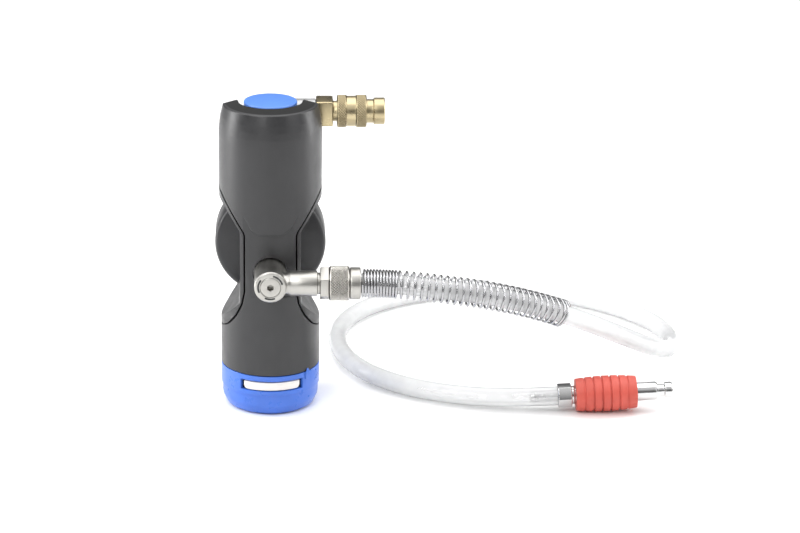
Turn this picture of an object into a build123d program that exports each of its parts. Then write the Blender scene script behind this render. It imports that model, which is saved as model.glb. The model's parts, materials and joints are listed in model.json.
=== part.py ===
from build123d import *
import os
from math import cos, pi, radians, tan

# ------------------------------------------------------------------ driving dimensions (mm)
# Frame: z = 0 is the surface it stands on, +Z up, +X towards the air coupler, -Y the operator.
clear = 0.05            # radial running clearance of a guided part
fit = 0.02              # radial clearance of a fixed, assembled part

ring_radius = 32.3
ring_height = 28.0
ring_foot_radius = 26.5
ring_wall = 2.6
ring_flats = 16
window_low, window_high = 17.6, 24.6
window_half_angle = 39.0
window_turn = 2.0       # degrees that the window sits round from the front
pointer_angle = -42.0

lobe_low_radius = 32.3
lobe_high_radius = 33.3
waist_radius = 31.0
panel_radius = 56.9     # the thumb panel's curve
panel_depth = 31.0      # how far in front of the axis the panel lies
shell_wall = 2.5
shell_bottom = 28.4
shell_rear_top = 188.0
collar_top = 206.4
collar_bore = 20.6
seam_gap = 1.0
parting_gap = 0.3

port_height = 98.8      # outlet elbow, cross bore and gauge share this height
elbow_radius = 10.3
elbow_front, elbow_back = -56.6, -26.2
elbow_recess_radius = 11.1
arm_depth = -48.0       # y of the elbow's arm
arm_radius = 8.15
arm_end = 29.7
hex_end = 37.2
nut_end = 50.4
tail_end = 57.4

button_radius = 17.2
button_top = 206.0
stem_radius = 3.0
screw_radius = 1.6
screw_seat = 17.5       # y of the shell screws' head seats
screw_places = [(-21.6, 158), (21.6, 158), (-21.6, 46), (21.6, 46)]

inlet_y, inlet_z = 19.0, 193.3
inlet_radius = 8.15
block_start, block_end = 29.5, 40.5
block_side = 16.4
sleeve_radius = 10.5
sleeve_start, sleeve_end = 42.6, 62.4
coupler_end = 74.0
coupler_nose_radius = 8.75
coupler_bore_radius = 5.0
coupler_bore_start = 62.0
sleeve_travel = 2.4
valve_travel = 2.0

gauge_radius = 36.8
gauge_front, gauge_back = 30.2, 59.0
dial_face = 51.0

hose_radius = 6.25
hose_bore_radius = 4.1
guard_radius = 9.3
guard_wall = 0.7
# Control points of the hose's route, elbow end first: runs of about 40 mm, none of them in line.
hose_points = [
    (57.4, -48.0, 98.8), (76.0, -48.0, 98.8), (106.0, -47.9, 95.2), (139.0, -43.8, 89.2),
    (173.0, -34.4, 78.2), (206.0, -18.6, 61.6), (234.0, 4.0, 42.6), (257.0, 31.0, 24.4),
    (274.0, 62.0, 10.6),
    (280.5, 98.0, 6.25), (270.0, 132.0, 6.25), (245.0, 162.0, 6.25), (211.0, 185.0, 6.25),
    (170.0, 198.0, 6.25), (130.0, 194.0, 6.25), (92.0, 178.0, 6.25), (63.0, 151.0, 6.25),
    (47.0, 115.0, 6.25), (46.5, 75.0, 6.25), (60.0, 36.0, 6.25), (87.0, 7.0, 6.25),
    (119.0, -9.5, 6.6), (155.0, -20.0, 8.2), (188.6, -20.0, 10.1),
]
guard_last = 4          # the guard ends half way along the run after this point
swivel_last = 5         # the hose turns with the elbow up to half way along the run after this

grip_mid_radius = 11.75
grip_end_radius = 10.5

os.makedirs("parts", exist_ok=True)


# ------------------------------------------------------------------ shared builders
def axis_plane(origin, direction, across):
    """A plane whose z runs along direction, for parts turned about an axis."""
    return Plane(origin=origin, x_dir=across, z_dir=direction)


def lathe(base, outline):
    """Turn an outline of (radius, height) points about the z axis of a base plane."""
    with BuildPart() as turned:
        with BuildSketch(Plane(base.origin, base.x_dir, -base.y_dir)):
            with BuildLine():
                Polyline(*outline, close=True)
            make_face()
        revolve(axis=Axis(base.origin, base.z_dir))
    return turned.part


def tube(base, outer, inner, low, high):
    """A plain bush or pipe between two heights on a base plane."""
    return lathe(base, [(inner, low), (outer, low), (outer, high), (inner, high)])


def rod(base, radius, low, high):
    """A plain round bar between two heights on a base plane."""
    return lathe(base, [(0, low), (radius, low), (radius, high), (0, high)])


def hex_prism(base, across_flats, low, high):
    """A hexagonal prism between two heights on a base plane."""
    with BuildPart() as prism:
        with BuildSketch(base.offset(low)):
            RegularPolygon(across_flats / 2, 6, major_radius=False)
        extrude(amount=high - low)
    return prism.part


def front_outline(half, corner_radius):
    """Extrude a mirrored front outline, given as its right half of (x, z) points, front to back."""
    left = [(-x, z) for x, z in reversed(half)]
    with BuildPart() as slab:
        with BuildSketch(Plane.XZ.offset(-60)) as face:
            with BuildLine():
                Polyline(*half, *left, close=True)
            make_face()
            fillet([v for v in face.vertices() if abs(v.X) < 33], corner_radius)
        extrude(amount=120)
    return slab.part


def coil(base, mean_radius, wire_radius, low, high, turns):
    """A wire spring between two heights on a base plane."""
    height = high - low - 2 * wire_radius
    with BuildPart() as spring:
        with BuildLine():
            Helix(pitch=height / turns, height=height, radius=mean_radius)
        with BuildSketch(Plane(origin=(mean_radius, 0, 0), x_dir=(1, 0, 0), z_dir=(0, 1, 0))):
            Circle(wire_radius)
        sweep(is_frenet=True)
    return base.offset(low + wire_radius).location * spring.part


upright = Plane.XY
port = axis_plane((0, 0, port_height), (0, 1, 0), (0, 0, 1))
arm = axis_plane((0, arm_depth, port_height), (1, 0, 0), (0, 0, 1))
inlet = axis_plane((0, inlet_y, inlet_z), (1, 0, 0), (0, 0, 1))

# ------------------------------------------------------------------ housing shells
# Silhouette: two round lobes joined by a narrow waist with straight shoulders.
silhouette = [
    (36, 10), (36, 56.0), (19.6, 76.5), (19.6, 126.0), (28.6, 138.8), (36, 146.5), (36, 220),
]
# The front cover's outline lies inside the silhouette at the waist, so the rear shell wraps round it.
cover_line = [
    (36, 10), (36, 53.0), (31.0, 56.0), (26.6, 60.2), (21.8, 67.0), (18.0, 75.6), (16.2, 85.0),
    (16.2, 125.1), (36, 154.8), (36, 220),
]
cavity_half = [(36, 10), (36, 49.5), (17.3, 76.5), (17.3, 126.0), (36, 157.0), (36, 220)]

hourglass = front_outline(silhouette, 5)
cover_form = front_outline(cover_line, 7)
cover_room = front_outline([(x + seam_gap, z) for x, z in cover_line], 7)
waist_room = front_outline(cavity_half, 4)

collar = [
    (lobe_high_radius, 184), (lobe_high_radius - 0.15, 188.5), (lobe_high_radius - 0.55, 193),
    (lobe_high_radius - 1.2, 197.5), (lobe_high_radius - 2.05, 201), (lobe_high_radius - 2.9, 204),
    (collar_bore + 1.0, collar_top),
    (collar_bore, collar_top - 0.7), (collar_bore, 201.5),
    (27.6, 196.5), (lobe_high_radius - shell_wall, 190.5), (0, 190.5),
]
front_profile = [
    (0, shell_bottom), (lobe_low_radius - 0.4, shell_bottom), (lobe_low_radius, shell_bottom + 0.5),
    (lobe_low_radius, 92), (lobe_high_radius, 112), *collar,
]
rear_profile = [
    (0, shell_bottom), (lobe_low_radius - 0.4, shell_bottom), (lobe_low_radius, shell_bottom + 0.5),
    (lobe_low_radius, 60), (waist_radius, 66), (waist_radius, 78), (lobe_low_radius, 92),
    (lobe_high_radius - 0.2, 118), (lobe_high_radius, 146),
    (lobe_high_radius, shell_rear_top - 0.6), (lobe_high_radius - 0.6, shell_rear_top),
    (0, shell_rear_top),
]
cavity_profile = [
    (0, 20), (lobe_low_radius - shell_wall, 20), (lobe_low_radius - shell_wall, 62),
    (28.4, 68), (28.4, 138), (lobe_high_radius - shell_wall, 148),
    (lobe_high_radius - shell_wall, 190.5), (0, 190.5),
]
# The thumb panel of the waist, a U shape below the upper lobe, cut with a flatter curve than the
# lobe's, so that it is deepest at the middle and runs out before the cover's edge.
panel_half = [(0, 83), (17.9, 83), (17.9, 138.2), (16.6, 136), (12.2, 128.4), (8, 125.6), (0, 125.6)]

with BuildPart() as panel_cut:
    with BuildSketch(Plane.XZ):
        with BuildLine():
            Polyline(*panel_half, close=True)
        make_face()
        mirror(about=Plane.YZ)
    extrude(amount=45)
    with Locations((0, panel_radius - panel_depth, 0)):
        Cylinder(panel_radius, 300, mode=Mode.SUBTRACT)

with BuildPart() as cavity:
    add(lathe(upright, cavity_profile))
    add(waist_room, mode=Mode.INTERSECT)

with BuildPart() as front_shell:
    add(lathe(upright, front_profile))
    add(cover_form, mode=Mode.INTERSECT)
    split(bisect_by=Plane.XZ, keep=Keep.TOP)
    add(panel_cut.part, mode=Mode.SUBTRACT)
    add(cavity.part, mode=Mode.SUBTRACT)
    add(rod(port, elbow_recess_radius, -45, 0), mode=Mode.SUBTRACT)
    with Locations(*[Pos(x, -10, z) * Rot(90, 0, 0) for x, z in screw_places]):
        Cylinder(3.4, 19)
        Cylinder(screw_radius + fit, 17, mode=Mode.SUBTRACT)
    with Locations(*[Pos(x, -1, z) * Rot(90, 0, 0) for x, z in screw_places]):
        Cylinder(screw_radius + fit, 4, mode=Mode.SUBTRACT)
    rim = front_shell.edges().filter_by(GeomType.CIRCLE)
    fillet([e for e in rim if abs(e.center().Z - 204) < 0.01 and e.radius > 30], 0.6)
front_shell.part.label = "front_shell"

with BuildPart() as rear_shell:
    add(lathe(upright, rear_profile))
    add(hourglass, mode=Mode.INTERSECT)
    with BuildPart(mode=Mode.SUBTRACT):
        add(cover_room)
        split(bisect_by=Plane.XZ.offset(-parting_gap), keep=Keep.TOP)
    add(cavity.part, mode=Mode.SUBTRACT)
    with Locations((0, gauge_front + 14.8, port_height)):
        Box(90, 30, 82, mode=Mode.SUBTRACT)
    add(rod(port, 12.0, 0, 45), mode=Mode.SUBTRACT)
    add(rod(inlet, inlet_radius + 0.5, 8, 40), mode=Mode.SUBTRACT)
    with Locations((block_start + 9.6, inlet_y, inlet_z + 3)):
        Box(20, block_side + 1, block_side + 7, mode=Mode.SUBTRACT)
    with Locations(*[Pos(x, 10.3, z) * Rot(90, 0, 0) for x, z in screw_places]):
        Cylinder(3.4, 20)
        Cylinder(screw_radius + fit, 22, mode=Mode.SUBTRACT)
    with Locations(*[Pos(x, screw_seat + 10, z) * Rot(90, 0, 0) for x, z in screw_places]):
        Cylinder(3.2, 20, mode=Mode.SUBTRACT)
rear_shell.part.label = "rear_shell"

with BuildPart() as shell_screws:
    for x, z in screw_places:
        add(lathe(axis_plane((x, 0, z), (0, 1, 0), (0, 0, 1)), [
            (0, -17), (screw_radius, -16), (screw_radius, screw_seat), (3.0, screw_seat),
            (3.0, screw_seat + 1.4), (2.4, screw_seat + 2.2), (0, screw_seat + 2.2)]))
        with Locations(Pos(x, screw_seat + 2.2, z) * Rot(90, 0, 0)):
            Box(3.6, 0.8, 2.0, mode=Mode.SUBTRACT)
            Box(0.8, 3.6, 2.0, mode=Mode.SUBTRACT)
shell_screws.part.label = "shell_screws"


# ------------------------------------------------------------------ pressure ring (turns on the housing)
ring_profile = [
    (9.0, 0.6), (10.0, 0), (ring_foot_radius, 0), (29.0, 1.6), (31.2, 6.5), (ring_radius, 13),
    (ring_radius, ring_height), (ring_radius - ring_wall, ring_height),
    (ring_radius - ring_wall, 8), (26.0, 3.2), (9.0, 3.2), (9.0, ring_height - 0.3),
    (5 + fit, ring_height - 0.3), (5 + fit, 5.0), (0, 5.0), (0, 0.6),
]


def window_band(low, high, half_angle, inner, outer):
    """A block of the ring's wall, centred on the front, between two radii."""
    with BuildPart() as band:
        with BuildSketch(Plane.XZ.rotated((0, 0, window_turn - 90 - half_angle))):
            with Locations(((inner + outer) / 2, (low + high) / 2)):
                Rectangle(outer - inner, high - low)
        revolve(axis=Axis.Z, revolution_arc=2 * half_angle)
    return band.part


pointer_out = Vector(1, 0, 0).rotate(Axis.Z, pointer_angle)
pointer_side = Vector(0, 1, 0).rotate(Axis.Z, pointer_angle)
with BuildPart() as pressure_ring:
    add(lathe(upright, ring_profile))
    with BuildPart(mode=Mode.SUBTRACT):
        with PolarLocations(ring_radius * cos(pi / ring_flats) - 0.4 + 3, ring_flats):
            Box(6, 14, 2 * 14.5)
    add(window_band(window_low, window_high, window_half_angle, 28, 36), mode=Mode.SUBTRACT)
    with Locations(Rot(0, 0, pointer_angle) * Pos(ring_radius - 0.1, 0, ring_height - 2.5)):
        Box(1.8, 3.6, 5)
    with BuildSketch(Plane(pointer_out * (ring_radius + 0.2), pointer_side, pointer_out)):
        with Locations((0, ring_height)):
            Polygon((-2.4, -2.4), (2.4, -2.4), (0.7, 2.3), (-0.7, 2.3), align=None)
    extrude(amount=0.6)
pressure_ring.part.label = "pressure_ring"

with BuildPart() as ring_insert:
    add(window_band(15.5, 23.6, window_half_angle + 5, 27.6, ring_radius - ring_wall - 0.02))
    with BuildPart() as insert_face:
        add(window_band(18.4, 23.6, window_half_angle - 4.2, 29.0, ring_radius - 0.7))
        fillet(insert_face.edges().filter_by(GeomType.LINE).group_by(Axis.Z)[0], 2.6)
ring_insert.part.label = "ring_insert"

bonnet_base = 30.0
body_base = 74.1
with BuildPart() as spindle:
    add(lathe(upright, [
        (0, 5.1), (5, 5.1), (5, 58), (4.2, 59), (0, 59)]))
spindle.part.label = "spindle"

with BuildPart() as bearing_plate:
    add(lathe(upright, [
        (9.0 + clear, 24), (29.3, 24), (29.3, 34), (17.1, 34), (17.1, bonnet_base - 0.1),
        (9.0 + clear, bonnet_base - 0.1)]))
    with Locations(*[(x, 0, 34) for x, z in screw_places[2:]]):
        Cylinder(1.2, 8, mode=Mode.SUBTRACT)
bearing_plate.part.label = "bearing_plate"

with BuildPart() as spring_bonnet:
    add(lathe(upright, [
        (5 + clear, bonnet_base), (17, bonnet_base), (17, body_base - 0.1), (14.6, body_base - 0.1),
        (14.6, bonnet_base + 3), (5 + clear, bonnet_base + 3)]))
spring_bonnet.part.label = "spring_bonnet"

seat_height = 40.0
with BuildPart() as spring_seat:
    add(lathe(upright, [
        (5 + clear, seat_height - 4), (14.5, seat_height - 4), (14.5, seat_height),
        (9.0, seat_height), (9.0, seat_height + 4), (5 + clear, seat_height + 4)]))
spring_seat.part.label = "spring_seat"

piston_base = 77.0
with BuildPart() as main_spring:
    add(coil(upright, 11.6, 1.4, seat_height + 0.05, piston_base - 0.05, 6))
main_spring.part.label = "main_spring"

with BuildPart() as diaphragm_piston:
    add(lathe(upright, [
        (0, piston_base), (12.14, piston_base), (12.14, 80.5), (1.8, 80.5), (1.8, 90.0), (0, 90.0)]))
diaphragm_piston.part.label = "diaphragm_piston"

# ------------------------------------------------------------------ valve column
with BuildPart() as valve_body:
    add(lathe(upright, [
        (12.2, body_base), (15, body_base), (15, 120), (13, 122), (13, 185.9),
        (stem_radius + clear, 185.9), (stem_radius + clear, 150), (7, 150), (7, 128), (2, 128),
        (2, 112), (4, 112), (4, 90), (2, 90), (2, 84), (12.2, 84)]))
    add(tube(port, 11, 4.42, -25.4, -11))
    add(tube(port, 9, 6.02, 11, 28))
    with BuildPart():
        with Locations((12, 15, 181)):
            Box(34, 22, 9.8)
        with Locations((21, 19, 187)):
            Box(15, 13, 12)
        Cylinder(28.4, 500, mode=Mode.INTERSECT)
        Cylinder(9, 500, mode=Mode.SUBTRACT)
    add(rod(inlet, inlet_radius, 13.6, block_start - 0.5))
    add(rod(inlet, 4, 17, 60), mode=Mode.SUBTRACT)
    add(rod(axis_plane((19, 19, 0), (0, 0, 1), (1, 0, 0)), 2.5, 178, inlet_z), mode=Mode.SUBTRACT)
    add(rod(port, 4.42, -30, -8), mode=Mode.SUBTRACT)
    add(rod(port, 2.5, -12, 16), mode=Mode.SUBTRACT)
    add(rod(port, 6.02, 14, 30), mode=Mode.SUBTRACT)
valve_body.part.label = "valve_body"

with BuildPart() as poppet:
    add(lathe(upright, [(0, 90.4), (3.3, 90.4), (3.3, 94), (1.6, 94), (1.6, 96), (0, 96)]))
poppet.part.label = "poppet"

with BuildPart() as poppet_spring:
    add(coil(upright, 2.6, 0.3, 94.05, 111.95, 5))
poppet_spring.part.label = "poppet_spring"

with BuildPart() as fill_poppet:
    add(lathe(upright, [(0, 134), (3.2, 134), (3.2, 137), (6.6, 137), (6.6, 141), (0, 141)]))
fill_poppet.part.label = "fill_poppet"

with BuildPart() as fill_spring:
    add(coil(upright, 5.2, 0.5, 128.05, 136.95, 3))
fill_spring.part.label = "fill_spring"

with BuildPart() as stem_gland:
    add(lathe(upright, [
        (stem_radius + clear, 186), (7.2, 186), (7.2, 189), (6.2, 190), (stem_radius + clear, 190)]))
stem_gland.part.label = "stem_gland"

with BuildPart() as button_stem:
    add(lathe(upright, [(0, 141.05), (stem_radius, 141.05), (stem_radius, 199.9), (0, 199.9)]))
button_stem.part.label = "button_stem"

with BuildPart() as button_cap:
    add(lathe(upright, [
        (0, 200), (5.5, 200), (6.5, 201), (16.4, 201), (button_radius, 201.8),
        (button_radius, button_top - 0.7), (button_radius - 0.5, button_top - 0.15),
        (button_radius - 1.2, button_top), (0, button_top)]))
button_cap.part.label = "button_cap"

with BuildPart() as button_spring:
    add(coil(upright, 8.4, 0.7, 186.05, 200.95, 5))
button_spring.part.label = "button_spring"

# ------------------------------------------------------------------ air inlet coupler
with BuildPart() as inlet_seal:
    add(tube(inlet, 7.6, 4.2, block_start - 0.45, block_start - 0.05))
inlet_seal.part.label = "inlet_seal"

with BuildPart() as inlet_block:
    with Locations(inlet.offset((block_start + block_end) / 2)):
        Box(block_side, block_side, block_end - block_start)
    chamfer(inlet_block.edges(), 0.6)
    add(rod(inlet, 4, block_start - 1, block_end + 1), mode=Mode.SUBTRACT)
inlet_block.part.label = "inlet_block"

core_radius = 8.2
spring_room_radius = 9.4
with BuildPart() as coupler_body:
    add(lathe(inlet, [
        (3, block_end + 0.05), (6.6, block_end + 0.05), (6.6, 44), (9.3, 44), (9.3, 46),
        (core_radius, 46), (core_radius, sleeve_end), (7.7, sleeve_end), (7.7, 66.5),
        (coupler_nose_radius, 67.1), (coupler_nose_radius, coupler_end - 0.5),
        (coupler_nose_radius - 0.5, coupler_end), (coupler_bore_radius + 0.4, coupler_end),
        (coupler_bore_radius, coupler_end - 0.4), (coupler_bore_radius, coupler_bore_start),
        (coupler_bore_radius + 0.3, coupler_bore_start), (coupler_bore_radius + 0.3, 50), (3, 50)]))
    with Locations(inlet.offset(58.4)):
        with PolarLocations(6.6, 6):
            Sphere(1.5, mode=Mode.SUBTRACT)
coupler_body.part.label = "coupler_body"

with BuildPart() as lock_balls:
    with Locations(inlet.offset(58.4)):
        with PolarLocations(6.6, 6):
            Sphere(1.45)
lock_balls.part.label = "lock_balls"

sleeve_core_gap = core_radius + clear
with BuildPart() as coupler_sleeve:
    add(lathe(inlet, [
        (spring_room_radius, sleeve_start + 0.5), (sleeve_radius - 0.4, sleeve_start + 0.5),
        (sleeve_radius, sleeve_start + 1.0), (sleeve_radius, 48.8), (sleeve_radius - 0.6, 49.4),
        (sleeve_radius - 0.6, 55.2), (sleeve_radius, 55.8), (sleeve_radius, sleeve_end - 0.7),
        (sleeve_radius - 0.5, sleeve_end - 0.2), (sleeve_core_gap, sleeve_end - 0.2),
        (sleeve_core_gap, 54), (spring_room_radius, 54)]))
coupler_sleeve.part.label = "coupler_sleeve"

with BuildPart() as coupler_spring:
    add(coil(inlet, 8.83, 0.32, 46.05, 53.95 - sleeve_travel, 4))
coupler_spring.part.label = "coupler_spring"

with BuildPart() as coupler_valve:
    add(lathe(inlet, [(0, 54), (2.4, 54), (2.4, 56), (4.9, 56), (4.9, 57.6), (3.4, 59), (0, 59)]))
coupler_valve.part.label = "coupler_valve"

with BuildPart() as coupler_valve_spring:
    add(coil(inlet, 4.0, 0.4, 50.05, 55.95 - valve_travel, 3))
coupler_valve_spring.part.label = "coupler_valve_spring"

# ------------------------------------------------------------------ outlet elbow and hose tail
bolt_radius = 4.4
head_seat = elbow_front + 1.9
with BuildPart() as banjo_bolt:
    add(lathe(port, [
        (2, -11), (bolt_radius, -11), (bolt_radius, head_seat), (6.6, head_seat),
        (6.6, elbow_front + 0.2), (6.2, elbow_front - 0.2), (0, elbow_front - 0.2), (0, -50), (2, -50)]))
    add(hex_prism(port, 4.0, elbow_front - 1, -51.6), mode=Mode.SUBTRACT)
    with Locations((0, arm_depth, port_height)):
        Cylinder(1.2, 12, rotation=(0, 0, 0), mode=Mode.SUBTRACT)
banjo_bolt.part.label = "banjo_bolt"

with BuildPart() as elbow_washer:
    add(tube(port, 9.4, 4.5, -26.1, -25.45))
elbow_washer.part.label = "elbow_washer"

with BuildPart() as elbow_body:
    add(lathe(port, [
        (0, elbow_back), (elbow_radius, elbow_back), (elbow_radius, elbow_front + 0.9),
        (elbow_radius - 0.9, elbow_front), (0, elbow_front)]))
    add(lathe(arm, [
        (0, 0), (7.0, 0), (7.0, 10.6), (arm_radius, 13.2), (arm_radius, arm_end),
        (6.9, arm_end + 0.3), (6.9, 31.6), (0, 31.6)]))
    add(rod(port, bolt_radius + clear, -60, -20), mode=Mode.SUBTRACT)
    add(rod(port, 6.7, -60, head_seat + clear), mode=Mode.SUBTRACT)
    add(rod(port, 6.0, arm_depth - 2.5, arm_depth + 2.5), mode=Mode.SUBTRACT)
    add(rod(arm, 3.4, 0, 40), mode=Mode.SUBTRACT)
elbow_body.part.label = "elbow_body"

with BuildPart() as tail_hex:
    add(hex_prism(arm, 19.0, 31.65, hex_end))
    add(lathe(arm, [
        (0, 31.65), (7.6, 31.65), (7.6, nut_end + 0.1), (4.0, nut_end + 0.1), (4.0, 60),
        (3.6, 61), (4.0, 63), (3.6, 64), (3.9, 66), (3.4, 67.5), (0, 67.5)]))
    add(rod(arm, 2.4, 30, 80), mode=Mode.SUBTRACT)
    chamfer(tail_hex.edges().filter_by(GeomType.LINE).filter_by(Plane.YZ), 0.5)
tail_hex.part.label = "tail_hex"

with BuildPart() as hose_nut:
    add(lathe(arm, [
        (7.6 + clear, hex_end + 0.15), (10.5, hex_end + 0.15), (11.1, hex_end + 0.8),
        (11.1, nut_end - 0.8), (10.5, nut_end - 0.1), (7.6 + clear, nut_end - 0.1)]))
hose_nut.part.label = "hose_nut"

with BuildPart() as guard_collar:
    add(lathe(arm, [
        (4.06, nut_end + 0.15), (9.9, nut_end + 0.15), (10.3, nut_end + 0.6),
        (10.3, tail_end - 0.6), (9.8, tail_end), (4.06, tail_end)]))
guard_collar.part.label = "guard_collar"

# ------------------------------------------------------------------ hose and its wire guard
route = [Vector(*p) for p in hose_points]
runs = [b - a for a, b in zip(route, route[1:])]


def corner_radius(index):
    """The arc at a control point: as large as its two runs allow."""
    before, after = runs[index - 1], runs[index]
    turn = radians(before.get_angle(after))
    return 0.45 * min(before.length, after.length) / tan(turn / 2)


corner_radii = [corner_radius(i) for i in range(1, len(route) - 1)]


def half_way(index, shift=0.0):
    """The middle of the run after a control point, shifted along the run."""
    return route[index] + runs[index] * 0.5 + runs[index].normalized() * shift


def hose_span(points, radii, outer, inner):
    """A tube swept along straight runs joined by tangent arcs."""
    with BuildPart() as span:
        with BuildLine():
            path = FilletPolyline(*points, radius=radii)
        with BuildSketch(path ^ 0):
            Circle(outer)
            Circle(inner, mode=Mode.SUBTRACT)
        sweep()
    print("span length", round(path.length, 2), "volume / (section x length)",
          round(span.part.volume / (pi * (outer ** 2 - inner ** 2) * path.length), 5))
    return span.part


print("route radii", [round(r, 1) for r in corner_radii])
with BuildPart() as spring_guard:
    add(hose_span([*route[:guard_last + 1], half_way(guard_last)], corner_radii[:guard_last],
                  guard_radius, guard_radius - guard_wall))
spring_guard.part.label = "spring_guard"

with BuildPart() as hose_upper:
    add(hose_span([*route[:swivel_last + 1], half_way(swivel_last, -parting_gap / 2)],
                  corner_radii[:swivel_last], hose_radius, hose_bore_radius))
hose_upper.part.label = "hose_upper"

with BuildPart() as hose_lower:
    add(hose_span([half_way(swivel_last, parting_gap / 2), *route[swivel_last + 1:]],
                  corner_radii[swivel_last:], hose_radius, hose_bore_radius))
hose_lower.part.label = "hose_lower"

# ------------------------------------------------------------------ hose-end plug, on the last run's line
plug = axis_plane(route[-1], runs[-1].normalized(), (0, 1, 0))
plug_nut_end, grip_start, grip_end = 9.2, 11.7, 51.7
nipple_end, groove_end, plug_end = 65.4, 69.7, 75.6

with BuildPart() as plug_core:
    add(lathe(plug, [
        (2.4, -18), (3.5, -18), (4.0, -15), (3.5, -12), (4.0, -9), (3.5, -6), (4.0, -3), (4.0, 0.05),
        (5.0, 0.05), (5.0, grip_end), (6.15, grip_end), (6.15, nipple_end - 1.2),
        (5.4, nipple_end), (4.15, nipple_end), (4.15, groove_end), (5.45, groove_end + 0.6),
        (5.45, plug_end - 1), (4.6, plug_end), (2.4, plug_end)]))
plug_core.part.label = "plug_core"

with BuildPart() as plug_nut:
    add(hex_prism(plug, 14.0, 0.05, plug_nut_end))
    add(rod(plug, 6.0, plug_nut_end - 1, grip_start - 0.15))
    chamfer(plug_nut.edges().filter_by(GeomType.LINE).filter_by(plug), 0.4)
    add(rod(plug, 5.0 + fit, -1, 20), mode=Mode.SUBTRACT)
plug_nut.part.label = "plug_nut"

grip_mid = (grip_start + grip_end) / 2
with BuildPart() as plug_grip:
    with BuildSketch(Plane(plug.origin, plug.x_dir, -plug.y_dir)):
        with BuildLine():
            outer_edge = ThreePointArc((grip_end_radius, grip_start + 0.1), (grip_mid_radius, grip_mid),
                                       (grip_end_radius, grip_end - 0.1))
            Polyline(outer_edge @ 1, (5 + clear, grip_end - 0.1), (5 + clear, grip_start + 0.1),
                     outer_edge @ 0)
        make_face()
        for step in (-2.5, -1.5, -0.5, 0.5, 1.5, 2.5):
            with Locations((grip_mid_radius, grip_mid + 5.6 * step)):
                Rectangle(2.4, 1.1, mode=Mode.SUBTRACT)
    revolve(axis=Axis(plug.origin, plug.z_dir))
plug_grip.part.label = "plug_grip"

# ------------------------------------------------------------------ pressure gauge, dial to the rear
with BuildPart() as gauge_case:
    add(lathe(port, [
        (6.1, gauge_front), (33.4, gauge_front), (35.8, gauge_front + 1.0),
        (gauge_radius, gauge_front + 3.4), (gauge_radius, 54.9), (gauge_radius - 2, 54.9),
        (gauge_radius - 2, gauge_front + 2.2), (6.1, gauge_front + 2.2)]))
gauge_case.part.label = "gauge_case"

with BuildPart() as gauge_bezel:
    add(lathe(port, [
        (gauge_radius, 55), (gauge_radius, gauge_back - 1.2), (gauge_radius - 1.2, gauge_back),
        (31.5, gauge_back), (31.5, 57.4), (34, 57.4), (34, 55)]))
gauge_bezel.part.label = "gauge_bezel"

with BuildPart() as gauge_lens:
    add(rod(port, 33.9, 55.2, 57.3))
gauge_lens.part.label = "gauge_lens"

with BuildPart() as gauge_dial:
    add(tube(port, 34.7, 1.3, dial_face - 1, dial_face))
gauge_dial.part.label = "gauge_dial"

with BuildPart() as gauge_socket:
    add(rod(port, 6, 14.2, 34))
    with Locations((0, 37, port_height - 8)):
        Box(11, 6, 34)
    add(rod(port, 2, 10, 36), mode=Mode.SUBTRACT)
gauge_socket.part.label = "gauge_socket"

plate_heights = (40.2, 47.2)
pillar_places = [(-9, port_height + 7), (9, port_height + 7), (-9, port_height - 19), (9, port_height - 19)]
with BuildPart() as movement_plates:
    with Locations(*[(0, y + 0.6, port_height - 6) for y in plate_heights]):
        Box(23, 1.2, 31)
    for x, z in pillar_places:
        add(rod(axis_plane((x, 0, z), (0, 1, 0), (0, 0, 1)), 1.4, 40.2, 49.9))
    add(rod(port, 0.9, 30, 60), mode=Mode.SUBTRACT)
    add(rod(axis_plane((0, 0, port_height - 12), (0, 1, 0), (0, 0, 1)), 1.05, 30, 60), mode=Mode.SUBTRACT)
movement_plates.part.label = "movement_plates"

with BuildPart() as bourdon_tube:
    with BuildLine(axis_plane((0, 43.5, port_height), (0, 1, 0), (0, 0, 1))):
        bow = CenterArc((0, 0), 26, 180, 270)
    with BuildSketch(bow ^ 0):
        Circle(2.2)
        Circle(1.4, mode=Mode.SUBTRACT)
    sweep()
bourdon_tube.part.label = "bourdon_tube"

with BuildPart() as bourdon_foot:
    with Locations((0, 42.4, port_height - 26)):
        Box(8, 4.4, 9)
    add(bourdon_tube.part, mode=Mode.SUBTRACT)
    add(rod(axis_plane((0, 43.5, port_height), (0, 1, 0), (0, 0, 1)), 23, -4, 4), mode=Mode.SUBTRACT)
bourdon_foot.part.label = "bourdon_foot"

with BuildPart() as gauge_needle:
    add(lathe(port, [(0, 41), (0.85, 41), (0.85, 43.4), (1.8, 43.4), (1.8, 45.4), (0.85, 45.4),
                     (0.85, 51.8), (3.0, 51.8), (3.0, 53.6), (0, 53.6)]))
    with BuildSketch(Plane.XZ.offset(-52.2)):
        with BuildLine():
            Polyline((1.2, port_height + 1.2), (19.4, port_height - 18.6), (18.6, port_height - 19.4),
                     (-1.2, port_height - 1.2), (-6.5, port_height + 4.5), (-4.5, port_height + 6.5),
                     close=True)
        make_face()
    extrude(amount=-0.6)
gauge_needle.part.label = "gauge_needle"

sector = axis_plane((0, 0, port_height - 12), (0, 1, 0), (0, 0, 1))
with BuildPart() as gauge_sector:
    with BuildSketch(sector.offset(43.6)):
        Circle(10.05)
        with Locations((-6, 0)):
            Rectangle(16, 30, mode=Mode.SUBTRACT)
        Circle(2.4)
    extrude(amount=1.6)
    add(rod(sector, 1.0, 40.4, 48.2))
gauge_sector.part.label = "gauge_sector"

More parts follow.
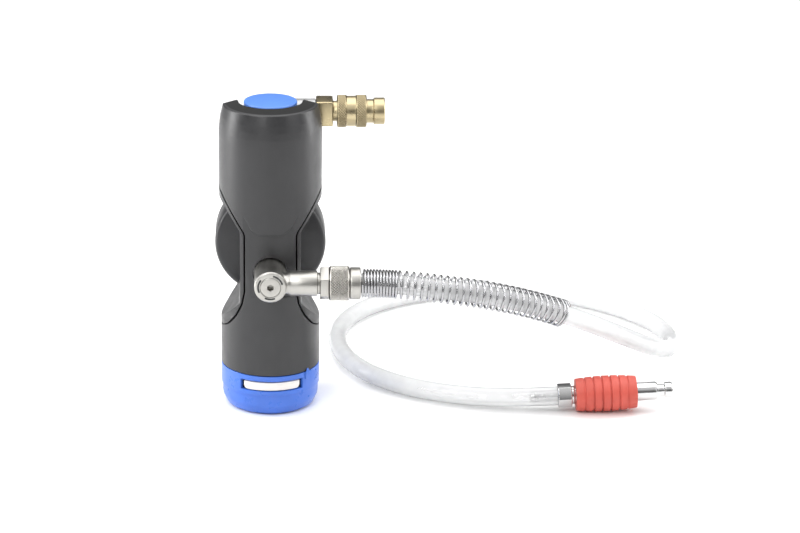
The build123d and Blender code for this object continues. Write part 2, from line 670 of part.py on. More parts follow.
# ------------------------------------------------------------------ write every piece
pieces = [
    front_shell, rear_shell, shell_screws, valve_body, stem_gland, spring_bonnet, bearing_plate,
    pressure_ring, ring_insert, spindle, spring_seat, main_spring, diaphragm_piston, poppet,
    poppet_spring, fill_poppet, fill_spring, button_cap, button_stem, button_spring, inlet_seal,
    inlet_block, coupler_body, lock_balls, coupler_sleeve, coupler_spring, coupler_valve,
    coupler_valve_spring, banjo_bolt, elbow_washer, elbow_body, tail_hex, hose_nut, guard_collar,
    spring_guard, hose_upper, hose_lower, plug_core, plug_nut, plug_grip, gauge_case, gauge_bezel,
    gauge_lens, gauge_dial, gauge_socket, movement_plates, bourdon_tube, bourdon_foot, gauge_needle,
    gauge_sector,
]
for piece in pieces:
    export_step(piece.part, f"parts/{piece.part.label}.step")
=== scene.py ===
import bmesh
import bpy
import json
from math import ceil, cos, floor, pi, radians, sin
from mathutils import Matrix, Vector


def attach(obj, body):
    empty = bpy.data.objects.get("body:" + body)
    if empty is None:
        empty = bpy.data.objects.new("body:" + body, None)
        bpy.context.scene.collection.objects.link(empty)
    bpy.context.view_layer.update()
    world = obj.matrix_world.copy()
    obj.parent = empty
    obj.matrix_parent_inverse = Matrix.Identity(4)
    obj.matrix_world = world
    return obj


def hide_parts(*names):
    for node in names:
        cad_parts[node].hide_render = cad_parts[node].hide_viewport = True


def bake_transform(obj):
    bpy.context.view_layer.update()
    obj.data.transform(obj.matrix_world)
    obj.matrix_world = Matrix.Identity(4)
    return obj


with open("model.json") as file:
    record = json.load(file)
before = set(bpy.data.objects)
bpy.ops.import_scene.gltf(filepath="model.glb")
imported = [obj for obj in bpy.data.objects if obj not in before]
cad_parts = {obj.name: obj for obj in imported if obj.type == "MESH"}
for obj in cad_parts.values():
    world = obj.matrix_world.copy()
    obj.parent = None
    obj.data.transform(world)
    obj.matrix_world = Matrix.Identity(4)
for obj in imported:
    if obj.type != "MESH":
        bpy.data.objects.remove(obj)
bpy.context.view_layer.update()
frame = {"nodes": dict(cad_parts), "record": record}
record = frame["record"]

MM = 0.001
PORT = (0.0, -0.048, 0.0988)
INLET = (0.0, 0.019, 0.1933)
FORWARD, UP = (1, 0, 0), (0, 0, 1)

# ------------------------------------------------------------------ camera
CAMERA_PLACE = (0.0, -1.650, 0.679)
CAMERA_TILT = radians(19.55)
CAMERA_LENS = 120.5
CAMERA_SHIFT = 0.162
scene = bpy.context.scene
camera_data = bpy.data.cameras.new("camera")
camera_data.lens = CAMERA_LENS
camera_data.sensor_width = 36.0
camera_data.shift_x = CAMERA_SHIFT
camera_data.clip_end = 30.0
camera = bpy.data.objects.new("camera", camera_data)
camera.location = CAMERA_PLACE
camera.rotation_euler = (pi / 2 - CAMERA_TILT, 0.0, 0.0)
scene.collection.objects.link(camera)
scene.camera = camera


# ------------------------------------------------------------------ material building
def new_material(name):
    """A node material: returns the material, its tree and its Principled shader."""
    material = bpy.data.materials.new(name)
    material.use_nodes = True
    tree = material.node_tree
    return material, tree, tree.nodes["Principled BSDF"]


def node(tree, kind, **inputs):
    """A shader node with its named inputs set or linked."""
    made = tree.nodes.new(kind)
    for key, value in inputs.items():
        socket = made.inputs[key.replace("_", " ")]
        if isinstance(value, bpy.types.NodeSocket):
            tree.links.new(value, socket)
        else:
            socket.default_value = value
    return made


def object_coordinates(tree):
    return tree.nodes.new("ShaderNodeTexCoord").outputs["Object"]


def noise(tree, scale, detail=3.0, roughness=0.55, stretch=None):
    """Noise in the metres of the shared frame, stretched along an axis if asked."""
    place = object_coordinates(tree)
    if stretch:
        mapping = node(tree, "ShaderNodeMapping", Vector=place)
        mapping.inputs["Scale"].default_value = stretch
        place = mapping.outputs["Vector"]
    made = node(tree, "ShaderNodeTexNoise", Vector=place, Scale=scale, Detail=detail,
                Roughness=roughness)
    return made.outputs["Fac"]


def ramp(tree, factor, stops):
    """A colour ramp through (position, colour) stops."""
    made = node(tree, "ShaderNodeValToRGB", Fac=factor)
    elements = made.color_ramp.elements
    while len(elements) < len(stops):
        elements.new(0.5)
    for element, (position, colour) in zip(elements, stops):
        element.position = position
        element.color = (*colour, 1.0) if len(colour) == 3 else colour
    return made.outputs["Color"]


def span(tree, factor, low, high, from_low=0.3, from_high=0.7):
    """Map a factor to a range of values."""
    made = node(tree, "ShaderNodeMapRange", Value=factor)
    made.inputs["From Min"].default_value = from_low
    made.inputs["From Max"].default_value = from_high
    made.inputs["To Min"].default_value = low
    made.inputs["To Max"].default_value = high
    return made.outputs["Result"]


def mixed(tree, kind, factor, first, second):
    """A mix from first to second, each a socket or a constant; kind is RGBA or FLOAT."""
    mix = tree.nodes.new("ShaderNodeMix")
    mix.data_type = kind
    tree.links.new(factor, mix.inputs["Factor"])
    for key, value in (("A", first), ("B", second)):
        if isinstance(value, bpy.types.NodeSocket):
            tree.links.new(value, mix.inputs[key])
        else:
            mix.inputs[key].default_value = value
    return mix.outputs["Result"]


def multiplied(tree, first, second):
    product = tree.nodes.new("ShaderNodeMath")
    product.operation = "MULTIPLY"
    tree.links.new(first, product.inputs[0])
    tree.links.new(second, product.inputs[1])
    return product.outputs["Value"]


def length_of(tree, vector):
    measured = tree.nodes.new("ShaderNodeVectorMath")
    measured.operation = "LENGTH"
    tree.links.new(vector, measured.inputs[0])
    return measured.outputs["Value"]


def source_of(shader, key):
    """The socket that feeds a shader's input."""
    return shader.inputs[key].links[0].from_socket


def surface(name, colour, contrast, roughness, metallic=0.0, grain=900.0, grain_depth=0.00002,
            stretch=None, coat=0.0, grooves=None, edge=0.0):
    """A material with colour variation, uneven gloss, fine grain and, if asked, painted shade toward
    the bottoms of grooves or softened edges.

    grooves is (y, z, deep radius, shallow radius, colour) about an axis along X, in metres; the
    colour is painted shade, strongest at the deep radius.
    """
    material, tree, shader = new_material(name)
    patchy = noise(tree, 60.0, 4.0)
    low = tuple(c * (1 - contrast) for c in colour)
    high = tuple(min(1.0, c * (1 + contrast)) for c in colour)
    tone = ramp(tree, patchy, [(0.3, low), (0.7, high)])
    # Painted shade: the colour darkens from the groove shoulders to the groove bottoms, standing in
    # for shade in the knurl's recesses.
    if grooves:
        y, z, deep, shallow, groove_shade_colour = grooves
        across = node(tree, "ShaderNodeVectorMath")
        across.operation = "MULTIPLY_ADD"
        tree.links.new(object_coordinates(tree), across.inputs[0])
        across.inputs[1].default_value = (0.0, 1.0, 1.0)
        across.inputs[2].default_value = (0.0, -y, -z)
        radial = length_of(tree, across.outputs["Vector"])
        cut = span(tree, radial, 1.0, 0.0, deep, shallow)
        outside_neck = span(tree, radial, 0.0, 1.0, deep - 0.2 * MM, deep - 0.1 * MM)
        tone = mixed(tree, "RGBA", multiplied(tree, cut, outside_neck), tone, (*groove_shade_colour, 1.0))
    tree.links.new(tone, shader.inputs["Base Color"])
    fine = noise(tree, grain, 2.0, 0.6, stretch)
    uneven = span(tree, noise(tree, 140.0, 3.0), max(0.02, roughness - 0.05), roughness + 0.06)
    tree.links.new(uneven, shader.inputs["Roughness"])
    relief = node(tree, "ShaderNodeBump", Height=fine, Distance=grain_depth)
    if edge:
        softened = node(tree, "ShaderNodeBevel", Radius=edge)
        softened.samples = 6
        tree.links.new(softened.outputs["Normal"], relief.inputs["Normal"])
    tree.links.new(relief.outputs["Normal"], shader.inputs["Normal"])
    shader.inputs["Metallic"].default_value = metallic
    shader.inputs["Coat Weight"].default_value = coat
    return material


SHELL_LOOK = {"colour": (0.026, 0.026, 0.0275), "contrast": 0.06, "roughness": 0.34, "grain": 2600,
              "grain_depth": 0.00003, "edge": 0.0008}
WHITE_LOOK = {"colour": (0.80, 0.78, 0.74), "contrast": 0.03, "roughness": 0.40, "grain": 900,
              "grain_depth": 0.00001}
SHELL = surface("shell_grey", **SHELL_LOOK)
BLUE = surface("blue_plastic", (0.045, 0.150, 0.600), 0.05, 0.30, grain=1500, grain_depth=0.00001,
               coat=0.15, edge=0.0004)
BLUE_TOP = surface("blue_button", (0.085, 0.215, 0.640), 0.04, 0.36, grain=1500,
                   grain_depth=0.00001)
WHITE = surface("white_plastic", **WHITE_LOOK)
BLACK = surface("black_plastic", (0.019, 0.019, 0.021), 0.10, 0.42, grain=2200,
                grain_depth=0.00003, edge=0.0005)
CAST = surface("cast_alloy", (0.40, 0.40, 0.40), 0.06, 0.45, 1.0, grain=1800, grain_depth=0.00006)
STEEL = surface("steel", (0.45, 0.45, 0.44), 0.06, 0.28, 1.0, grain=900, stretch=(1, 1, 12))
WIRE = surface("spring_steel", (0.42, 0.42, 0.43), 0.05, 0.20, 1.0, grain=1200,
               grain_depth=0.00001)
NICKEL = surface("nickel", (0.43, 0.42, 0.395), 0.05, 0.33, 1.0, grain=700, grain_depth=0.00001,
                 stretch=(10, 1, 1), edge=0.0004)
# Knurled nickel with painted shade, near-black, toward its groove bottoms.
NICKEL_KNURL_GROOVE_SHADE = surface("nickel_knurl_groove_shade", (0.56, 0.54, 0.50), 0.05, 0.28, 1.0, grain=700,
                       grain_depth=0.00001,
                       grooves=(PORT[1], PORT[2], 0.01045, 0.01098, (0.012, 0.011, 0.010)))
BRIGHT = surface("bright_plate", (0.66, 0.66, 0.66), 0.03, 0.14, 1.0, grain=500,
                 grain_depth=0.000005)
BRASS = surface("brass", (0.46, 0.385, 0.235), 0.06, 0.30, 1.0, grain=900, grain_depth=0.000015,
                stretch=(8, 1, 1), edge=0.0003)
# Knurled brass with painted shade, brown-black, toward its groove bottoms.
BRASS_KNURL_GROOVE_SHADE = surface("brass_knurl_groove_shade", (0.50, 0.42, 0.26), 0.06, 0.30, 1.0, grain=900,
                      grain_depth=0.000015,
                      grooves=(INLET[1], INLET[2], 0.0101, 0.01045, (0.05, 0.035, 0.015)))
SEAL = surface("seal_rubber", (0.02, 0.02, 0.02), 0.15, 0.60, grain=1500)
RED = surface("red_rubber", (0.56, 0.085, 0.060), 0.08, 0.48, grain=1800, grain_depth=0.00004)
DIAL = surface("dial_white", (0.80, 0.80, 0.78), 0.02, 0.55, grain=900, grain_depth=0.000005)
# Black print for the dial; also laid as painted shade in the elbow's screw slots.
PRINT_AND_SLOT_SHADE = surface("print_and_slot_shade_black", (0.02, 0.02, 0.02), 0.05, 0.55)


def shell_with_collar_shade():
    """The housing's grey, with painted reflection: the collar's upward funnel faces coloured
    near-black and made matt.
    """
    material = surface("shell_collar_painted_shade", **SHELL_LOOK)
    tree = material.node_tree
    shader = tree.nodes["Principled BSDF"]
    place = node(tree, "ShaderNodeSeparateXYZ", Vector=object_coordinates(tree))
    # Painted reflection: near-black colour on the funnel's upward faces above 204.3 mm, standing for
    # the dim surroundings they reflect.
    funnel = span(tree, place.outputs["Z"], 0.0, 1.0, 0.2043, 0.2046)
    tone = mixed(tree, "RGBA", funnel, source_of(shader, "Base Color"), (0.003, 0.003, 0.003, 1.0))
    tree.links.new(tone, shader.inputs["Base Color"])
    matt = mixed(tree, "FLOAT", funnel, source_of(shader, "Roughness"), 0.85)
    tree.links.new(matt, shader.inputs["Roughness"])
    return material


def window_white():
    """The ring window's white face on its black backing."""
    material = surface("window_insert", **WHITE_LOOK)
    tree = material.node_tree
    shader = tree.nodes["Principled BSDF"]
    place = node(tree, "ShaderNodeSeparateXYZ", Vector=object_coordinates(tree))
    flat = node(tree, "ShaderNodeCombineXYZ", X=place.outputs["X"], Y=place.outputs["Y"])
    face = span(tree, length_of(tree, flat.outputs["Vector"]), 0.0, 1.0, 0.03000, 0.03010)
    tone = mixed(tree, "RGBA", face, (0.004, 0.004, 0.005, 1.0), source_of(shader, "Base Color"))
    tree.links.new(tone, shader.inputs["Base Color"])
    return material


SHELL_WITH_COLLAR_SHADE = shell_with_collar_shade()
WINDOW_WHITE = window_white()


def clear_plastic(name, tint, painted_edge_shade, rim, alpha_low, alpha_high, roughness):
    """Clear plastic: nearly open face on, closed towards its edges, its colour turning grey there as
    painted reflection of the surroundings, partly the plastic's own grey through more wall.
    """
    material, tree, shader = new_material(name)
    facing = node(tree, "ShaderNodeLayerWeight", Blend=rim).outputs["Facing"]
    # Towards the edges the colour turns grey: painted reflection of the surroundings, partly the
    # plastic's own grey.
    tone = ramp(tree, facing, [(0.25, tint), (0.95, painted_edge_shade)])
    tree.links.new(tone, shader.inputs["Base Color"])
    cover = span(tree, facing, alpha_low, alpha_high, 0.05, 0.95)
    cloud = span(tree, noise(tree, 45.0, 3.0), 0.85, 1.15)
    tree.links.new(multiplied(tree, cover, cloud), shader.inputs["Alpha"])
    shader.inputs["Roughness"].default_value = roughness
    shader.inputs["Specular IOR Level"].default_value = 0.6
    ripple = node(tree, "ShaderNodeBump", Height=noise(tree, 220.0), Distance=0.00004)
    tree.links.new(ripple.outputs["Normal"], shader.inputs["Normal"])
    return material


# Hose and lens: their grey edge colour is painted reflection, partly the plastic's own grey.
HOSE = clear_plastic("clear_hose", (0.84, 0.845, 0.85), (0.44, 0.445, 0.45), 0.5, 0.30, 0.85, 0.10)
LENS = clear_plastic("lens", (0.95, 0.96, 0.97), (0.6, 0.62, 0.64), 0.3, 0.05, 0.6, 0.03)

SLOT_MATERIAL = {
    "shell_grey": SHELL, "blue_plastic": BLUE, "white_plastic": WHITE, "black_plastic": BLACK,
    "cast_alloy": CAST, "steel": STEEL, "spring_steel": WIRE, "nickel": NICKEL,
    "bright_plate": BRIGHT, "brass": BRASS, "seal_rubber": SEAL, "clear_hose": HOSE,
    "red_rubber": RED, "lens": LENS, "dial_white": DIAL,
}
NODE_SLOT = {entry["node"]: entry["material_slot"] for entry in record["subparts"]}
NODE_BODY = {name: body for body, names in record["behaviour"]["bodies"].items() for name in names}


def dress(target, material):
    target.data.materials.clear()
    target.data.materials.append(material)


# ------------------------------------------------------------------ mesh building
def from_mesh(name, mesh, stands_for, material=None, rides=True):
    """A new piece from a mesh in the shared frame, riding and dressed as the node it stands for."""
    piece = bpy.data.objects.new(name, mesh)
    scene.collection.objects.link(piece)
    dress(piece, material or SLOT_MATERIAL[NODE_SLOT[stands_for]])
    if rides:
        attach(piece, NODE_BODY[stands_for])
    return piece


def mesh_from(name, vertices, faces):
    mesh = bpy.data.meshes.new(name)
    mesh.from_pydata([tuple(v) for v in vertices], [], faces)
    mesh.validate()
    work = bmesh.new()
    work.from_mesh(mesh)
    bmesh.ops.recalc_face_normals(work, faces=work.faces)
    work.to_mesh(mesh)
    work.free()
    return mesh


def smooth(mesh, angle=radians(32)):
    """Smooth shading with edges sharper than the angle kept sharp."""
    mesh.shade_smooth()
    mesh.set_sharp_from_angle(angle=angle)


def apply_modifiers(piece):
    """Bake a piece's modifiers into its mesh."""
    bpy.context.view_layer.update()
    graph = bpy.context.evaluated_depsgraph_get()
    baked = bpy.data.meshes.new_from_object(piece.evaluated_get(graph))
    piece.modifiers.clear()
    piece.data = baked


def rounded(name, width):
    """A copy of a CAD node whose sharp edges are rounded; it stands for that node."""
    mesh = frame["nodes"][name].data.copy()
    work = bmesh.new()
    work.from_mesh(mesh)
    bmesh.ops.remove_doubles(work, verts=work.verts, dist=1e-6)
    bmesh.ops.dissolve_limit(work, angle_limit=radians(0.6), verts=work.verts, edges=work.edges)
    work.to_mesh(mesh)
    work.free()
    piece = from_mesh("fine_" + name, mesh, name, rides=False)
    bevel = piece.modifiers.new("edges", "BEVEL")
    bevel.width = width * MM
    bevel.segments = 3
    bevel.limit_method = "ANGLE"
    bevel.angle_limit = radians(28)
    bevel.harden_normals = False
    apply_modifiers(piece)
    smooth(piece.data)
    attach(piece, NODE_BODY[name])
    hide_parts(name)


def axis_frame(origin, direction, across):
    """A matrix whose z runs along direction and x towards across."""
    z = Vector(direction).normalized()
    x = (Vector(across) - z * Vector(across).dot(z)).normalized()
    return Matrix.Translation(Vector(origin)) @ Matrix((x, z.cross(x), z)).transposed().to_4x4()


def turned(name, base, outline, columns, relief):
    """Turn a closed outline of (radius, height) points in mm about a base frame.

    relief(angle, radius, height) returns the radius with the knurl cut in.
    """
    vertices = []
    for column in range(columns):
        angle = 2 * pi * column / columns
        for radius, height in outline:
            r = relief(angle, radius, height)
            vertices.append(base @ Vector((r * MM * cos(angle), r * MM * sin(angle), height * MM)))
    rows = len(outline)
    faces = []
    for column in range(columns):
        after = (column + 1) % columns
        for row in range(rows):
            up = (row + 1) % rows
            faces.append((column * rows + row, after * rows + row, after * rows + up,
                          column * rows + up))
    return mesh_from(name, vertices, faces)


def resampled(outline, step):
    """Points along a closed outline at most a step apart, its corners kept."""
    points = []
    for (r0, s0), (r1, s1) in zip(outline, outline[1:] + outline[:1]):
        count = max(1, ceil(((r1 - r0) ** 2 + (s1 - s0) ** 2) ** 0.5 / step))
        for i in range(count):
            points.append((r0 + (r1 - r0) * i / count, s0 + (s1 - s0) * i / count))
    return points


# ------------------------------------------------------------------ hose route and its pieces
# Control points in metres, elbow end first; the CAD's hose follows the same ones.
ROUTE = [
    (0.0574, -0.0480, 0.0988), (0.0760, -0.0480, 0.0988), (0.1060, -0.0479, 0.0952),
    (0.1390, -0.0438, 0.0892), (0.1730, -0.0344, 0.0782), (0.2060, -0.0186, 0.0616),
    (0.2340, 0.0040, 0.0426), (0.2570, 0.0310, 0.0244), (0.2740, 0.0620, 0.0106),
    (0.2805, 0.0980, 0.00625), (0.2700, 0.1320, 0.00625), (0.2450, 0.1620, 0.00625),
    (0.2110, 0.1850, 0.00625), (0.1700, 0.1980, 0.00625), (0.1300, 0.1940, 0.00625),
    (0.0920, 0.1780, 0.00625), (0.0630, 0.1510, 0.00625), (0.0470, 0.1150, 0.00625),
    (0.0465, 0.0750, 0.00625), (0.0600, 0.0360, 0.00625), (0.0870, 0.0070, 0.00625),
    (0.1190, -0.0095, 0.0066), (0.1550, -0.0200, 0.0082), (0.1886, -0.0200, 0.0101),
]
HOSE_DIAMETER = 0.0125
HOSE_BORE = 0.0082
GUARD_DIAMETER = 0.0186
GUARD_WIRE = 0.0017
GUARD_START = 0.9
CLOSE_END, OPEN_END, GUARD_END = 23.4, 134.5, 138.0
CLOSE_PITCH, OPEN_PITCH = 1.95, 4.35


def route_line(points):
    """Points of the smooth line that the control points give."""
    curve = bpy.data.curves.new("route", "CURVE")
    curve.dimensions = "3D"
    curve.resolution_u = 16
    spline = curve.splines.new("NURBS")
    spline.points.add(len(points) - 1)
    for place, point in zip(points, spline.points):
        point.co = (*place, 1.0)
    spline.order_u = 3
    spline.use_endpoint_u = True
    holder = bpy.data.objects.new("route", curve)
    scene.collection.objects.link(holder)
    bpy.context.view_layer.update()
    mesh = bpy.data.meshes.new_from_object(holder)
    line = [v.co.copy() for v in mesh.vertices]
    bpy.data.objects.remove(holder)
    bpy.data.curves.remove(curve)
    bpy.data.meshes.remove(mesh)
    return line


class Line:
    """A polyline with lengths and a frame that doesn't twist."""

    def __init__(self, points):
        self.points = points
        self.at = [0.0]
        for a, b in zip(points, points[1:]):
            self.at.append(self.at[-1] + (b - a).length)
        self.tangents = []
        for i in range(len(points)):
            a, b = points[max(i - 1, 0)], points[min(i + 1, len(points) - 1)]
            self.tangents.append((b - a).normalized())
        side = Vector((0, 0, 1)).cross(self.tangents[0]).normalized()
        self.sides = []
        for tangent in self.tangents:
            side = (side - tangent * side.dot(tangent)).normalized()
            self.sides.append(side)

    @property
    def length(self):
        return self.at[-1]

    def frame(self, distance):
        """Place, side and up at a distance along the line."""
        low, high = 0, len(self.at) - 1
        while high - low > 1:
            middle = (low + high) // 2
            if self.at[middle] <= distance:
                low = middle
            else:
                high = middle
        share = (distance - self.at[low]) / (self.at[high] - self.at[low])
        place = self.points[low].lerp(self.points[high], share)
        tangent = self.tangents[low].lerp(self.tangents[high], share).normalized()
        side = self.sides[low].lerp(self.sides[high], share)
        side = (side - tangent * side.dot(tangent)).normalized()
        return place, side, tangent.cross(side)


def tube_mesh(name, places, sides, ups, outer, inner, around):
    """A tube round a line: with an inner wall if inner is set, else solid with flat ends."""
    rings = []
    vertices = []

    def add_ring(i, radius):
        start = len(vertices)
        for k in range(around):
            angle = 2 * pi * k / around
            vertices.append(places[i] + sides[i] * (radius * cos(angle))
                            + ups[i] * (radius * sin(angle)))
        rings.append(start)

    for i in range(len(places)):
        add_ring(i, outer)
    if inner:
        for i in reversed(range(len(places))):
            add_ring(i, inner)
    faces = []
    last = len(rings) if inner else len(rings) - 1
    for i in range(last):
        a, b = rings[i], rings[(i + 1) % len(rings)]
        for k in range(around):
            n = (k + 1) % around
            faces.append((a + k, a + n, b + n, b + k))
    if not inner:
        faces.append(tuple(rings[0] + k for k in range(around)))
        faces.append(tuple(rings[-1] + k for k in range(around)))
    return mesh_from(name, vertices, faces)


hose_line = Line(route_line(ROUTE))

hose_mesh = tube_mesh("hose", hose_line.points, hose_line.sides,
                      [t.cross(s) for t, s in zip(hose_line.tangents, hose_line.sides)],
                      HOSE_DIAMETER / 2, HOSE_BORE / 2, 32)
smooth(hose_mesh)
hose = from_mesh("hose", hose_mesh, "hose_lower", rides=False)
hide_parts("hose_upper", "hose_lower")
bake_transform(hose)


def guard_turns(distance):
    """Turns wound by a distance along the guard, in mm: close, then open, then close at the end."""
    turns = min(distance, CLOSE_END) / CLOSE_PITCH
    turns += max(0.0, min(distance, OPEN_END) - CLOSE_END) / OPEN_PITCH
    turns += max(0.0, min(distance, GUARD_END) - OPEN_END) / CLOSE_PITCH
    return turns


def wire_along(name, line, start, end, radius, wire, turns_at, per_turn, around):
    """A wound wire round a line between two distances."""
    steps = [start]
    while steps[-1] < end:
        ahead = 1e-4
        rate = (turns_at(steps[-1] / MM + ahead / MM) - turns_at(steps[-1] / MM)) / ahead
        steps.append(min(end, steps[-1] + 1.0 / (rate * per_turn)))
    places = []
    for distance in steps:
        place, side, up = line.frame(distance)
        angle = 2 * pi * turns_at(distance / MM)
        places.append(place + side * (radius * cos(angle)) + up * (radius * sin(angle)))
    coil = Line(places)
    ups = [t.cross(s) for t, s in zip(coil.tangents, coil.sides)]
    return tube_mesh(name, coil.points, coil.sides, ups, wire, 0.0, around)


guard_mesh = wire_along("guard", hose_line, GUARD_START * MM, GUARD_END * MM,
                        (GUARD_DIAMETER - GUARD_WIRE) / 2, GUARD_WIRE / 2, guard_turns, 28, 8)
smooth(guard_mesh, radians(80))
guard = from_mesh("guard", guard_mesh, "spring_guard", rides=False)
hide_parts("spring_guard")
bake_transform(guard)

# ------------------------------------------------------------------ knurled and turned pieces
arm = axis_frame(PORT, FORWARD, UP)
inlet = axis_frame(INLET, FORWARD, UP)
NUT_RADIUS = 11.1
SLEEVE_RADIUS = 10.5
KNURL_COUNT = 38
OUTLINE_STEP = 0.24


def knurl(radius, low, high, count, depth):
    """A diamond knurl of cut grooves between two heights, fading out at its ends."""
    pitch = 2 * pi * radius / count

    def relief(angle, r, height):
        if r < radius - 0.05 or not low <= height <= high:
            return r
        along = height / pitch
        turn = angle * count / (2 * pi)
        grooves = []
        for phase in (turn + along, turn - along):
            saw = abs(phase - floor(phase) - 0.5) * 2
            grooves.append(max(0.0, saw - 0.35) / 0.65)
        fade = min(1.0, (height - low) / 0.3, (high - height) / 0.3)
        return r - depth * max(grooves) * max(0.0, fade)

    return relief


nut_outline = [(7.66, 37.35), (10.3, 37.35), (NUT_RADIUS, 38.1), (NUT_RADIUS, 49.6), (10.3, 50.3),
               (7.66, 50.3)]
nut_mesh = turned("nut", arm, resampled(nut_outline, OUTLINE_STEP), 400,
                  knurl(NUT_RADIUS, 38.3, 49.4, KNURL_COUNT, 0.65))
smooth(nut_mesh, radians(60))
nut = from_mesh("knurled_nut", nut_mesh, "hose_nut", NICKEL_KNURL_GROOVE_SHADE)
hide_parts("hose_nut")

sleeve_outline = [
    (9.4, 43.1), (10.0, 43.1), (SLEEVE_RADIUS, 43.6), (SLEEVE_RADIUS, 48.8), (9.9, 49.4),
    (9.9, 55.2), (SLEEVE_RADIUS, 55.8), (SLEEVE_RADIUS, 61.7), (10.0, 62.2), (8.25, 62.2),
    (8.25, 54.0), (9.4, 54.0)]
band_one = knurl(SLEEVE_RADIUS, 43.7, 48.7, KNURL_COUNT, 0.4)
band_two = knurl(SLEEVE_RADIUS, 55.9, 61.6, KNURL_COUNT, 0.4)
sleeve_mesh = turned("sleeve", inlet, resampled(sleeve_outline, OUTLINE_STEP), 352,
                     lambda a, r, h: band_two(a, band_one(a, r, h), h))
smooth(sleeve_mesh, radians(60))
sleeve = from_mesh("knurled_sleeve", sleeve_mesh, "coupler_sleeve", BRASS_KNURL_GROOVE_SHADE)
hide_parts("coupler_sleeve")

# ------------------------------------------------------------------ CAD nodes with finished edges
for name, width in (
        ("elbow_body", 0.5), ("tail_hex", 0.4), ("guard_collar", 0.35), ("banjo_bolt", 0.25),
        ("inlet_block", 0.4), ("coupler_body", 0.3), ("plug_core", 0.3), ("plug_nut", 0.35),
        ("plug_grip", 0.35), ("button_cap", 0.4), ("gauge_bezel", 0.6), ("gauge_case", 0.8),
        ("pressure_ring", 0.5), ("ring_insert", 0.3)):
    rounded(name, width)

for name, source in frame["nodes"].items():
    dress(source, SLOT_MATERIAL[NODE_SLOT[name]])
dress(bpy.data.objects["fine_button_cap"], BLUE_TOP)
dress(bpy.data.objects["fine_ring_insert"], WINDOW_WHITE)
dress(frame["nodes"]["front_shell"], SHELL_WITH_COLLAR_SHADE)


# ------------------------------------------------------------------ marks: painted shade in the screw slots, and the dial's print
def arc_bar(vertices, faces, centre, plane_y, depth, inner, outer, start, end, steps=24):
    """Add a thin curved bar standing on the plane y, between two radii and two angles."""
    first = len(vertices)
    for i in range(steps + 1):
        angle = start + (end - start) * i / steps
        for radius, y in ((inner, plane_y), (outer, plane_y), (outer, plane_y + depth),
                          (inner, plane_y + depth)):
            vertices.append((centre[0] + radius * cos(angle), y, centre[1] + radius * sin(angle)))
    for i in range(steps):
        for k in range(4):
            a, b = first + 4 * i + k, first + 4 * i + (k + 1) % 4
            faces.append((a, b, b + 4, a + 4))
    faces.append((first, first + 1, first + 2, first + 3))
    last = first + 4 * steps
    faces.append((last, last + 1, last + 2, last + 3))


PORT_CENTRE = (PORT[0], PORT[2])
ELBOW_FRONT, SLOT_SHADE_THICKNESS = -0.05664, 0.00006
DIAL_FRONT, PRINT_DEPTH = 0.05104, 0.00004
TICKS, TICK_END = 50, 0.0312
# Painted shade: thin black arcs on the elbow's front face stand for the shade inside its screw slots.
slot_shade_vertices, slot_shade_faces = [], []
for low, high in ((15, 78), (140, 205), (243, 292)):
    arc_bar(slot_shade_vertices, slot_shade_faces, PORT_CENTRE, ELBOW_FRONT, SLOT_SHADE_THICKNESS, 0.0072, 0.0084,
            radians(low), radians(high))
from_mesh("elbow_slot_shade", mesh_from("elbow_slot_shade", slot_shade_vertices, slot_shade_faces), "elbow_body",
          PRINT_AND_SLOT_SHADE)

tick_vertices, tick_faces = [], []
for i in range(TICKS + 1):
    angle = radians(-45 + 270 * i / TICKS)
    inner = 0.0258 if i % 10 == 0 else 0.0278 if i % 5 == 0 else 0.0290
    half = radians(0.9 if i % 10 == 0 else 0.45)
    arc_bar(tick_vertices, tick_faces, PORT_CENTRE, DIAL_FRONT, PRINT_DEPTH, inner, TICK_END,
            angle - half, angle + half, 2)
arc_bar(tick_vertices, tick_faces, PORT_CENTRE, DIAL_FRONT, PRINT_DEPTH, TICK_END, 0.0316,
        radians(-46), radians(226), 90)
from_mesh("dial_marks", mesh_from("dial_marks", tick_vertices, tick_faces), "gauge_dial",
          PRINT_AND_SLOT_SHADE)

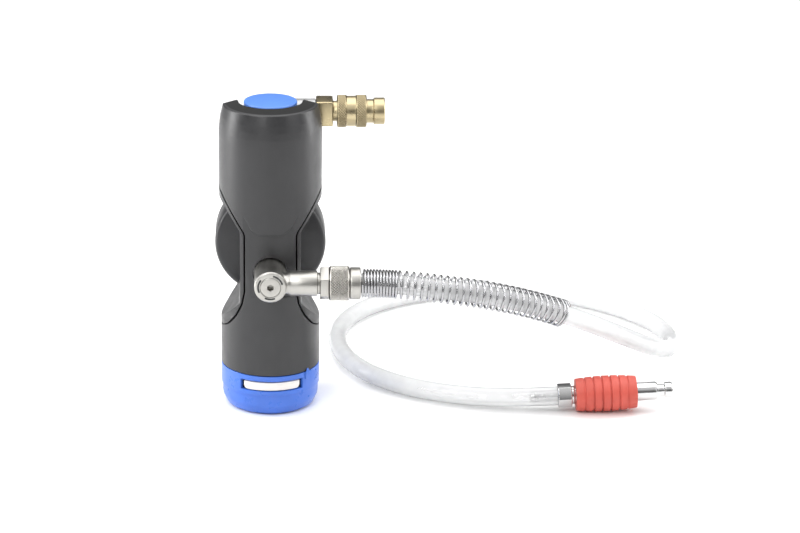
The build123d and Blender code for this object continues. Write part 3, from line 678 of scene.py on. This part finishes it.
# ------------------------------------------------------------------ floor, light and world
FLOOR_HALF = 3.0
floor_corners = [(x * FLOOR_HALF, y * FLOOR_HALF, 0) for x, y in ((-1, -1), (1, -1), (1, 1), (-1, 1))]
floor_mesh = bpy.data.meshes.new("floor")
floor_mesh.from_pydata(floor_corners, [], [(0, 1, 2, 3)])
floor_piece = bpy.data.objects.new("floor", floor_mesh)
scene.collection.objects.link(floor_piece)
floor_piece.location.z = -0.0002
dress(floor_piece, surface("floor_paint", (0.93, 0.93, 0.93), 0.01, 0.6, grain=80))


def area_light(name, place, target, width, height, power):
    """A soft lamp at a place, turned towards a target."""
    data = bpy.data.lights.new(name, "AREA")
    data.shape = "RECTANGLE"
    data.size, data.size_y = width, height
    data.energy = power
    lamp = bpy.data.objects.new(name, data)
    lamp.location = place
    aim = Vector(target) - Vector(place)
    lamp.rotation_euler = aim.to_track_quat("-Z", "Y").to_euler()
    scene.collection.objects.link(lamp)


area_light("key", (-0.75, -1.0, 1.35), (0.05, 0, 0.08), 0.9, 0.9, 9)
area_light("fill", (1.2, -0.9, 0.8), (0.05, 0, 0.1), 0.8, 1.2, 4)
area_light("top", (0.1, 0.25, 1.8), (0.1, 0, 0.0), 2.0, 2.0, 26)
area_light("left_strip", (-0.9, 0.10, 0.40), (0, 0, 0.1), 0.35, 1.0, 9)
area_light("right_strip", (1.0, 0.20, 0.40), (0, 0, 0.1), 0.30, 1.0, 7)
area_light("front_strip", (-0.42, -1.25, 0.75), (0, 0, 0.1), 0.14, 1.1, 3.5)

world = bpy.data.worlds.new("studio")
world.use_nodes = True
sky = world.node_tree
sky_place = sky.nodes.new("ShaderNodeTexCoord").outputs["Generated"]
sky_height = node(sky, "ShaderNodeSeparateXYZ", Vector=sky_place).outputs["Z"]
sky_tone = ramp(sky, sky_height, [(0.0, (0.14, 0.14, 0.14)), (0.38, (0.22, 0.22, 0.22)),
                                  (0.72, (1.0, 1.0, 1.0))])
sky.links.new(sky_tone, sky.nodes["Background"].inputs["Color"])
sky.nodes["Background"].inputs["Strength"].default_value = 0.8
scene.world = world
scene.view_settings.view_transform = "Standard"
